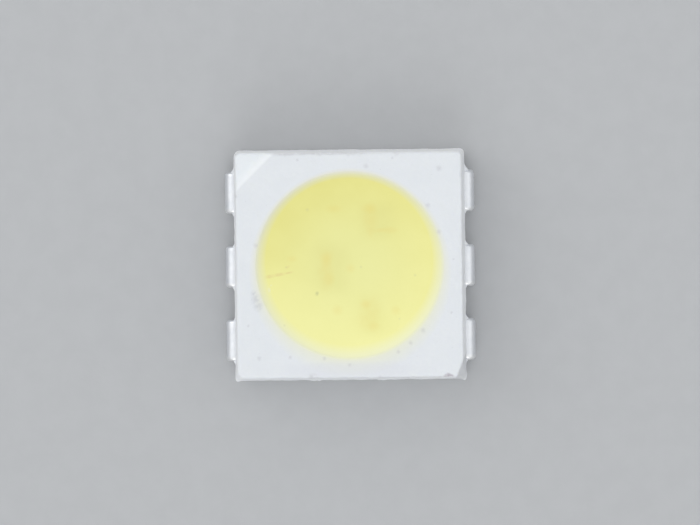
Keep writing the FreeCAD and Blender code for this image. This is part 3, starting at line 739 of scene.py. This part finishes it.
def white_plastic():
    g = Graph("moulded_white_plastic")
    cloud = g.step(g.noise(0.55, 3.0, 0.55), 0.30, 0.70)
    grain = g.step(g.noise(0.045, 2.0, 0.6), 0.32, 0.68)
    base = g.mix(cloud, (0.773, 0.793, 0.814), (0.793, 0.811, 0.828))
    base = g.mix(g.math("MULTIPLY", grain, 0.35), base, (0.758, 0.781, 0.804))
    # painted light: the side walls are painted lighter than the top
    walls = g.step(g.faces_up, 0.35, 0.85, 1.0, 0.0)
    base = g.mix(g.math("MULTIPLY", walls, 0.75), base, (0.870, 0.880, 0.893))
    # painted light: the walls are painted lighter still at the back and on the left
    lit_walls = g.most([g.math("MULTIPLY", g.step(g.y, 2.34, 2.42), 0.70), g.step(g.x, -2.42, -2.34, 0.50, 0.0)])
    base = g.mix(g.math("MULTIPLY", walls, lit_walls), base, (0.938, 0.945, 0.955))
    # painted shade: the facet of the clipped corner is painted darker
    corner = g.vec("DOT_PRODUCT", g.p, (float(CLIP_N[0]), float(CLIP_N[1]), 0.0))
    clipped = g.step(corner, float(CLIP_TOP) - 0.020, float(CLIP_TOP) + 0.012)
    base = g.mix(g.math("MULTIPLY", g.math("MULTIPLY", walls, clipped), 0.62), base, (0.590, 0.598, 0.615))
    # the rim takes on the gel's colour
    base, r = rim_fade(g, None, base)
    # the polarity mark's ramp is painted brighter as a painted highlight, and its flat is painted slightly paler
    d = g.vec("DOT_PRODUCT", g.p, (-ROOT_HALF, ROOT_HALF, 0.0))
    ramp = g.math("MULTIPLY", g.step(d, MARK_EDGE - 0.055, MARK_EDGE + 0.020), g.step(d, MARK_EDGE + 0.030, MARK_EDGE + 0.220, 1.0, 0.0))
    base = g.mix(only_up(g, g.math("MULTIPLY", ramp, 0.92), 1.40, 1.46), base, (0.940, 0.963, 0.975))
    flat = g.step(d, MARK_EDGE + 0.075, MARK_EDGE + 0.150)
    base = g.mix(only_up(g, g.math("MULTIPLY", flat, 0.32), 1.40, 1.46), base, (0.875, 0.915, 0.930))
    # painted shade: the strip in front of the cup is painted a little darker
    front_strip_shade = g.math("MULTIPLY", g.step(g.y, -2.20, -2.04, 1.0, 0.0), g.step(g.math("ABSOLUTE", g.x), 0.7, 1.9, 1.0, 0.0))
    base = g.mix(only_up(g, g.math("MULTIPLY", front_strip_shade, 0.45)), base, (0.728, 0.735, 0.770))
    # darker marks along the edges: painted shade along the back edge's worn stretch and in its nicks, and dark spots
    # by the front edge and the front left corner
    ragged = g.step(g.noise(0.07, 3.0, 0.6), 0.34, 0.62, 0.25, 1.0)
    q = g.ragged(0.09, 0.07)
    edge_shade_marks = g.most([
        g.stroke((-1.62, 2.405), (-1.12, 2.408), 0.060), g.stroke((-1.12, 2.412), (0.35, 2.415), 0.042),
        g.spot(-0.62, 2.42, 0.07, 0.7, at=q), g.spot(0.02, 2.42, 0.07, 0.7, at=q), g.spot(1.03, 2.39, 0.07, 0.8, (1.0, 1.3), at=q),
        g.spot(-0.80, -2.41, 0.12, 0.8, (1.0, 1.5), at=q), g.spot(0.65, -2.44, 0.06, 0.8, (1.0, 1.4), at=q),
        g.spot(-2.42, -2.42, 0.07, 0.7, at=q),
    ])
    base = g.mix(only_up(g, g.math("MULTIPLY", g.math("MULTIPLY", edge_shade_marks, ragged), 0.25), 1.50, 1.57), base, (0.50, 0.47, 0.49))
    # painted shade in a thin line on the front edge, thicker at its end
    front_edge_shade = g.math("MULTIPLY", g.stroke((0.60, -2.462), (2.12, -2.452), 0.026), g.step(g.x, 0.62, 1.35, 0.25, 1.0))
    front_edge_shade = g.most([front_edge_shade, g.spot(2.13, -2.435, 0.085, 0.8, (0.75, 1.2), at=q)])
    ragged_height = g.math("MULTIPLY_ADD", g.noise(0.055, 3.0, 0.6), 0.085, g.z)
    front_edge_shade = g.math("MULTIPLY", g.math("MULTIPLY", front_edge_shade, g.step(ragged_height, 1.585, 1.625)), g.step(g.noise(0.05, 2.0), 0.28, 0.55, 0.55, 1.0))
    base = g.mix(g.math("MULTIPLY", front_edge_shade, 0.66), base, (0.27, 0.19, 0.24))
    # small dark specks and one smudge
    q = g.ragged(0.05, 0.045)
    specks = [
        (0.38, 2.13, 0.032), (1.96, 2.07, 0.034), (1.71, 1.27, 0.030), (1.94, 0.69, 0.030),
        (-2.02, 0.44, 0.028), (-1.95, 0.05, 0.032), (-2.44, 1.50, 0.022), (1.58, -1.43, 0.030),
        (1.31, -1.70, 0.026), (1.04, -1.89, 0.022), (-0.56, -2.02, 0.024), (-0.02, -2.17, 0.022),
        (-1.97, -2.01, 0.026), (-1.30, -1.99, 0.022), (-0.85, -2.42, 0.024), (2.20, -1.05, 0.016),
        (-2.20, -1.30, 0.016), (0.95, 2.30, 0.015), (2.25, 0.10, 0.014), (-1.10, 2.28, 0.016),
    ]
    dots = g.most([g.spot(x, y, s * 2.0, 1.0, at=q) for x, y, s in specks])
    base = g.mix(only_up(g, g.math("MULTIPLY", dots, 0.27)), base, (0.42, 0.40, 0.43))
    smudge = g.most([g.spot(-2.03, -0.73, 0.105, 1.0, (1.0, 0.8), at=q), g.spot(-1.98, -0.87, 0.105, 1.0, (1.0, 0.8), at=q), g.spot(-2.07, -0.60, 0.07, 1.0, at=q)])
    smudge = g.math("MULTIPLY", smudge, g.step(g.noise(0.06, 2.0), 0.30, 0.60, 0.3, 1.0))
    base = g.mix(only_up(g, g.math("MULTIPLY", smudge, 0.40)), base, (0.45, 0.46, 0.50))
    # dust that sits in the grain here and there
    pepper = g.step(g.noise(0.030, 1.0, 0.5), 0.735, 0.80)
    base = g.mix(g.math("MULTIPLY", pepper, 0.28), base, (0.50, 0.50, 0.52))
    g.put(g.bsdf.inputs["Base Color"], base)
    g.put(g.bsdf.inputs["Roughness"], g.step(g.noise(0.12, 2.0), 0.3, 0.7, 0.46, 0.58, "LINEAR"))
    g.bsdf.inputs["IOR"].default_value = 1.50
    g.put(g.bsdf.inputs["Subsurface Weight"], g.step(r, 2.12, 2.30, 0.0, 0.18))
    g.bsdf.inputs["Subsurface Radius"].default_value = (1.0, 1.0, 0.85)
    g.bsdf.inputs["Subsurface Scale"].default_value = 0.06 * MM
    b = g.bump(g.noise(0.034, 3.0, 0.6), 0.0020, 0.8)
    b = g.bump(g.noise(0.16, 2.0, 0.5), 0.0035, 0.6, under=b)
    g.put(g.bsdf.inputs["Normal"], b)
    return g.mat


def phosphor():
    g = Graph("phosphor_silicone")
    r = g.vec("LENGTH", g.vec("MULTIPLY", g.p, (1.0, 1.0, 0.0)))
    cloud = g.step(g.noise(0.75, 3.0, 0.55), 0.30, 0.70)
    powder = g.step(g.noise(0.075, 2.0, 0.6), 0.30, 0.70)
    # painted light and shade: the gel is painted darker at the back and paler at the front
    dark = g.mix(cloud, (0.786, 0.736, 0.232), (0.804, 0.759, 0.250))
    pale = g.mix(cloud, (0.918, 0.888, 0.362), (0.930, 0.901, 0.380))
    front_light = g.step(g.vec("DOT_PRODUCT", g.p, (0.39, -0.92, 0.0)), -2.0, 2.0, 0.0, 1.0, "LINEAR")
    base = g.mix(front_light, dark, pale)
    base = g.mix(g.math("MULTIPLY", powder, 0.08), base, (0.805, 0.765, 0.260))
    base = g.mix(g.step(r, 0.3, 2.0, 0.50, 0.0), base, (0.842, 0.846, 0.385))
    # painted light: the gel is painted paler still towards the front left
    front_left_light = g.vec("DOT_PRODUCT", g.p, (-0.53, -0.85, 0.0))
    base = g.mix(g.step(front_left_light, 0.5, 1.6, 0.0, 0.40), base, (0.950, 0.930, 0.415))
    # the chips, their contacts and a wire end, faint through the gel
    q = g.ragged(0.30, 0.16)
    at = g.t.nodes.new("ShaderNodeSeparateXYZ")
    g.put(at.inputs[0], q)

    def block(cx, cy, half_w, half_h, soft):
        dx = g.math("ABSOLUTE", g.math("SUBTRACT", at.outputs[0], cx))
        dy = g.math("ABSOLUTE", g.math("SUBTRACT", at.outputs[1], cy))
        return g.math("MULTIPLY", g.step(dx, half_w - soft, half_w + soft, 1.0, 0.0), g.step(dy, half_h - soft, half_h + soft, 1.0, 0.0))

    broad = g.most([block(0.60, 0.94, 0.34, 0.36, 0.20), block(-0.40, -0.04, 0.34, 0.50, 0.22), g.math("MULTIPLY", block(0.45, -1.10, 0.27, 0.40, 0.18), 0.45)])
    base = g.mix(g.math("MULTIPLY", broad, 0.21), base, (0.690, 0.640, 0.215))
    chips = g.most([block(0.46, 0.93, 0.10, 0.34, 0.13), block(-0.51, -0.08, 0.10, 0.38, 0.13), g.math("MULTIPLY", block(0.42, -1.08, 0.17, 0.32, 0.14), 0.8)])
    chips = g.math("MULTIPLY", chips, g.step(g.noise(0.22, 2.0), 0.30, 0.62, 0.50, 1.0))
    base = g.mix(g.math("MULTIPLY", chips, 0.31), base, (0.830, 0.700, 0.205))
    spots = [
        g.spot(0.44, 1.22, 0.14, 1.0, (0.8, 1.2)), g.spot(-0.33, 1.21, 0.12, 1.0, (0.6, 1.3)), g.spot(0.88, 0.74, 0.12, 1.0, (0.6, 1.4)), g.stroke((0.56, 0.735), (1.05, 0.765), 0.07),
        g.spot(-0.51, 0.12, 0.13, 1.0, (1.0, 0.8)), g.spot(-0.44, -0.30, 0.13, 1.0), g.spot(-1.24, 0.14, 0.09, 1.0, (0.8, 1.2)), g.spot(0.02, -0.08, 0.11, 1.0),
        g.spot(-0.27, -0.98, 0.12, 1.0), g.spot(0.99, -1.00, 0.11, 1.0), g.spot(0.52, -1.33, 0.12, 1.0), g.spot(0.34, -0.86, 0.11, 1.0),
    ]
    base = g.mix(g.math("MULTIPLY", g.most(spots), 0.21), base, (0.825, 0.665, 0.160))
    base, _ = rim_fade(g, base, None)
    # a hair-thin scratch, a dark grain and a pale rub
    scratch = g.most([
        g.stroke((-1.82, -0.250), (-1.60, -0.215), 0.058), g.stroke((-1.64, -0.215), (-1.38, -0.175), 0.052),
        g.stroke((-1.40, -0.180), (-1.22, -0.140), 0.030), g.stroke((-1.38, -0.060), (-1.29, -0.010), 0.034),
    ])
    scratch = g.math("MULTIPLY", scratch, g.step(g.noise(0.07, 2.0), 0.30, 0.60, 0.60, 1.0))
    base = g.mix(g.math("MULTIPLY", scratch, 0.32), base, (0.68, 0.44, 0.20))
    q = g.ragged(0.05, 0.030)
    grain = g.spot(-0.705, -0.615, 0.044, 1.0, (1.1, 0.8), at=q)
    base = g.mix(g.math("MULTIPLY", grain, 0.30), base, (0.20, 0.21, 0.14))
    faint = g.most([g.spot(-1.42, -1.30, 0.03, 0.8), g.spot(0.25, -0.05, 0.03, 0.8), g.spot(1.42, -0.24, 0.035, 0.8), g.spot(-1.37, -0.04, 0.025, 0.8), g.spot(1.07, -1.18, 0.025, 0.8), g.spot(-0.90, 1.20, 0.04, 0.9)])
    base = g.mix(g.math("MULTIPLY", faint, 0.15), base, (0.45, 0.44, 0.30))
    rub = g.math("MULTIPLY", g.most([g.spot(-1.74, -0.53, 0.055, 0.8, (1.6, 0.7)), g.spot(-1.70, -0.42, 0.03, 0.8)]), g.step(g.noise(0.03, 2.0), 0.35, 0.6))
    base = g.mix(g.math("MULTIPLY", rub, 0.5), base, (0.88, 0.87, 0.66))
    g.put(g.bsdf.inputs["Base Color"], base)
    gloss = g.step(g.noise(0.35, 2.0), 0.3, 0.7, 0.290, 0.335, "LINEAR")
    g.put(g.bsdf.inputs["Roughness"], g.math("MULTIPLY_ADD", g.step(r, 1.93, 2.01), 0.20, gloss))
    g.bsdf.inputs["IOR"].default_value = 1.50
    b = g.bump(g.noise(0.30, 1.0, 0.5), 0.0016, 0.6)
    b = g.bump(scratch, -0.003, 0.6, under=b)
    g.put(g.bsdf.inputs["Normal"], b)
    return g.mat


def silver_plate():
    g = Graph("silver_plated_lead")
    cloud = g.step(g.noise(0.20, 3.0, 0.6), 0.30, 0.72)
    base = g.mix(cloud, (0.835, 0.855, 0.885), (0.900, 0.912, 0.930))
    tarnish = g.step(g.noise(0.07, 2.0, 0.6), 0.60, 0.78)
    base = g.mix(g.math("MULTIPLY", tarnish, 0.22), base, (0.74, 0.71, 0.71))
    # the shoulder towards the front is burnished smoother, and painted paler as a painted highlight
    along = g.math("WRAP", g.math("ADD", g.y, 0.016), 0.8, -0.8)
    burnish_and_highlight = g.math("MULTIPLY", g.step(along, -0.43, -0.33, 1.0, 0.0), g.step(g.z, 0.56, 0.66))
    base = g.mix(g.math("MULTIPLY", burnish_and_highlight, 0.9), base, (0.985, 0.985, 0.980))
    # the sheared tip under the package shows the copper core
    tip = g.step(g.math("ABSOLUTE", g.x), 1.600, 1.612, 1.0, 0.0)
    low = g.step(g.z, 0.16, 0.20, 1.0, 0.0)
    base = g.mix(g.math("MULTIPLY", g.math("MULTIPLY", tip, low), 0.8), base, (0.72, 0.42, 0.28))
    g.put(g.bsdf.inputs["Base Color"], base)
    g.bsdf.inputs["Metallic"].default_value = 1.0
    brushed = g.noise(0.030, 3.0, 0.6, at=g.stretched(0.16, 1.0, 0.16))
    rough = g.step(brushed, 0.3, 0.7, 0.36, 0.46, "LINEAR")
    rough = g.math("MULTIPLY_ADD", burnish_and_highlight, -0.065, rough)
    g.put(g.bsdf.inputs["Roughness"], g.math("MULTIPLY_ADD", tarnish, 0.10, rough))
    b = g.bump(brushed, 0.0024, 0.7)
    b = g.bump(g.noise(0.09, 2.0, 0.5), 0.0065, 0.7, under=b)
    g.put(g.bsdf.inputs["Normal"], b)
    return g.mat


def sapphire_chip():
    g = Graph("chip_sapphire")
    cells = g.noise(0.02, 2.0, 0.5)
    base = g.mix(g.step(cells, 0.35, 0.65), (0.46, 0.56, 0.62), (0.58, 0.66, 0.70))
    g.put(g.bsdf.inputs["Base Color"], base)
    g.put(g.bsdf.inputs["Roughness"], g.step(g.noise(0.05), 0.3, 0.7, 0.12, 0.22, "LINEAR"))
    g.bsdf.inputs["IOR"].default_value = 1.77
    g.put(g.bsdf.inputs["Normal"], g.bump(cells, 0.0006, 0.5))
    return g.mat


def die_adhesive():
    g = Graph("chip_adhesive_resin")
    swirl = g.noise(0.06, 3.0, 0.6, distort=0.6)
    g.put(g.bsdf.inputs["Base Color"], g.mix(g.step(swirl, 0.3, 0.7), (0.74, 0.72, 0.64), (0.82, 0.80, 0.74)))
    g.put(g.bsdf.inputs["Roughness"], g.step(swirl, 0.3, 0.7, 0.25, 0.40, "LINEAR"))
    g.put(g.bsdf.inputs["Normal"], g.bump(swirl, 0.001, 0.5))
    return g.mat


def gold():
    g = Graph("bond_wire_gold")
    drawn = g.noise(0.010, 2.0, 0.6, at=g.stretched(0.3, 1.0, 1.0))
    g.put(g.bsdf.inputs["Base Color"], g.mix(g.step(drawn, 0.3, 0.7), (0.86, 0.62, 0.26), (0.94, 0.72, 0.36)))
    g.bsdf.inputs["Metallic"].default_value = 1.0
    g.put(g.bsdf.inputs["Roughness"], g.step(drawn, 0.3, 0.7, 0.18, 0.30, "LINEAR"))
    g.put(g.bsdf.inputs["Normal"], g.bump(drawn, 0.0004, 0.5))
    return g.mat


def floor_card():
    g = Graph("floor_card")
    fibre = g.noise(0.5, 4.0, 0.6)
    g.put(g.bsdf.inputs["Base Color"], g.mix(g.step(fibre, 0.3, 0.7), (0.482, 0.487, 0.494), (0.498, 0.503, 0.510)))
    g.put(g.bsdf.inputs["Roughness"], g.step(fibre, 0.3, 0.7, 0.80, 0.90, "LINEAR"))
    g.put(g.bsdf.inputs["Normal"], g.bump(g.noise(0.08, 3.0), 0.004, 0.5))
    return g.mat


def assign(ob, mat):
    ob.data.materials.clear()
    ob.data.materials.append(mat)


M_PLASTIC, M_GEL, M_SILVER = white_plastic(), phosphor(), silver_plate()
assign(housing, M_PLASTIC)
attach(housing, "root")
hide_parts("housing")
assign(gel, M_GEL)
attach(gel, "root")
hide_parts("phosphor_gel")
for n, ob in leads.items():
    assign(ob, M_SILVER)
    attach(ob, "root")
    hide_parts(f"lead_{n}")
for word, mat in (("led_chip", sapphire_chip()), ("chip_adhesive", die_adhesive()), ("bond_wire", gold())):
    for name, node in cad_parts.items():
        if name.startswith(word):
            if not node.material_slots:
                node.data.materials.append(mat)
            for s in node.material_slots:
                s.material = mat

# ------------------------------------------------------------------ floor, light, camera
floor_me = bpy.data.meshes.new("floor")
floor_me.from_pydata([(-0.5, -0.5, 0), (0.5, -0.5, 0), (0.5, 0.5, 0), (-0.5, 0.5, 0)], [], [(0, 1, 2, 3)])
floor = bpy.data.objects.new("floor", floor_me)
scene.collection.objects.link(floor)
floor.data.materials.append(floor_card())

# the studio: a pale tent whose light falls off towards the floor's own tone at the horizon
HORIZON = (0.470, 0.480, 0.492)
world = bpy.data.worlds.new("studio")
scene.world = world
world.use_nodes = True
wt = world.node_tree
w_coord = wt.nodes.new("ShaderNodeTexCoord")
w_xyz = wt.nodes.new("ShaderNodeSeparateXYZ")
wt.links.new(w_coord.outputs["Generated"], w_xyz.inputs[0])
w_step = wt.nodes.new("ShaderNodeMapRange")
w_step.interpolation_type = "SMOOTHSTEP"
w_step.inputs["From Min"].default_value = 0.0
w_step.inputs["From Max"].default_value = 0.34
wt.links.new(w_xyz.outputs[2], w_step.inputs["Value"])
w_mix = wt.nodes.new("ShaderNodeMix")
w_mix.data_type = "RGBA"
w_mix.inputs[6].default_value = (*HORIZON, 1.0)
w_mix.inputs[7].default_value = (0.785, 0.80, 0.815, 1.0)
wt.links.new(w_step.outputs[0], w_mix.inputs[0])
wt.links.new(w_mix.outputs[2], wt.nodes["Background"].inputs["Color"])


def tent_panel(azimuth, elevation, half_angle, added, before=None):
    """A soft round panel that shines through the tent. azimuth is measured from +Y towards +X, all in degrees."""
    a, e = math.radians(azimuth), math.radians(elevation)
    dot = wt.nodes.new("ShaderNodeVectorMath")
    dot.operation = "DOT_PRODUCT"
    wt.links.new(w_coord.outputs["Generated"], dot.inputs[0])
    dot.inputs[1].default_value = (math.sin(a) * math.cos(e), math.cos(a) * math.cos(e), math.sin(e))
    fall = wt.nodes.new("ShaderNodeMapRange")
    fall.interpolation_type = "SMOOTHSTEP"
    wt.links.new(dot.outputs["Value"], fall.inputs["Value"])
    fall.inputs["From Min"].default_value = math.cos(math.radians(half_angle + 4))
    fall.inputs["From Max"].default_value = math.cos(math.radians(max(half_angle - 4, 0)))
    fall.inputs["To Min"].default_value = 0.0
    fall.inputs["To Max"].default_value = added
    total = wt.nodes.new("ShaderNodeMath")
    total.operation = "ADD"
    wt.links.new(fall.outputs[0], total.inputs[0])
    if before is None:
        total.inputs[1].default_value = 1.0
    else:
        wt.links.new(before, total.inputs[1])
    return total.outputs[0]


panels = tent_panel(78, 34, 24, 0.30)
panels = tent_panel(-66, 26, 26, 0.36, panels)
panels = tent_panel(2, 30, 20, 0.36, panels)
panels = tent_panel(184, 38, 24, 1.25, panels)
wt.links.new(panels, wt.nodes["Background"].inputs["Strength"])


def softbox(name, azimuth, elevation, distance, width, height, power, colour=(1, 1, 1)):
    """azimuth is measured from +Y towards +X, in degrees."""
    a, e = math.radians(azimuth), math.radians(elevation)
    where = Vector((math.sin(a) * math.cos(e), math.cos(a) * math.cos(e), math.sin(e))) * distance
    data = bpy.data.lights.new(name, "AREA")
    data.shape = "RECTANGLE"
    data.size, data.size_y = width, height
    data.energy = power
    data.color = colour
    ob = bpy.data.objects.new(name, data)
    ob.location = where
    ob.rotation_mode = "QUATERNION"
    ob.rotation_quaternion = (-where).to_track_quat("-Z", "Y")
    scene.collection.objects.link(ob)
    return ob


def power(radiance, width, height):
    return radiance * math.pi * width * height


softbox("key_left", -60, 42, 0.60, 0.46, 0.46, power(0.44, 0.46, 0.46), (0.99, 0.995, 1.0))

scene.view_settings.view_transform = "Standard"
scene.view_settings.look = "None"
scene.view_settings.exposure = 0.0
scene.view_settings.gamma = 1.0

cam_data = bpy.data.cameras.new("camera")
cam = bpy.data.objects.new("camera", cam_data)
scene.collection.objects.link(cam)
scene.camera = cam
DISTANCE = 0.25
PX_PER_M = 46090.0
cam_data.sensor_width = 36.0
cam_data.lens = PX_PER_M * DISTANCE * 36.0 / 700.0
cam_data.clip_start, cam_data.clip_end = 0.01, 5.0
back = Vector((math.sin(math.radians(1.0)), math.sin(math.radians(0.67)), 1.0)).normalized()
roll = math.radians(0.61)
up = Vector((math.sin(roll), math.cos(roll), 0.0))
up = (up - back * up.dot(back)).normalized()
right = up.cross(back)
centre = Vector((0, 0, 0.0008))
target = centre + up * (1.85 / PX_PER_M)
m = Matrix((right, up, back)).transposed().to_4x4()
m.translation = target + back * DISTANCE
cam.matrix_world = m
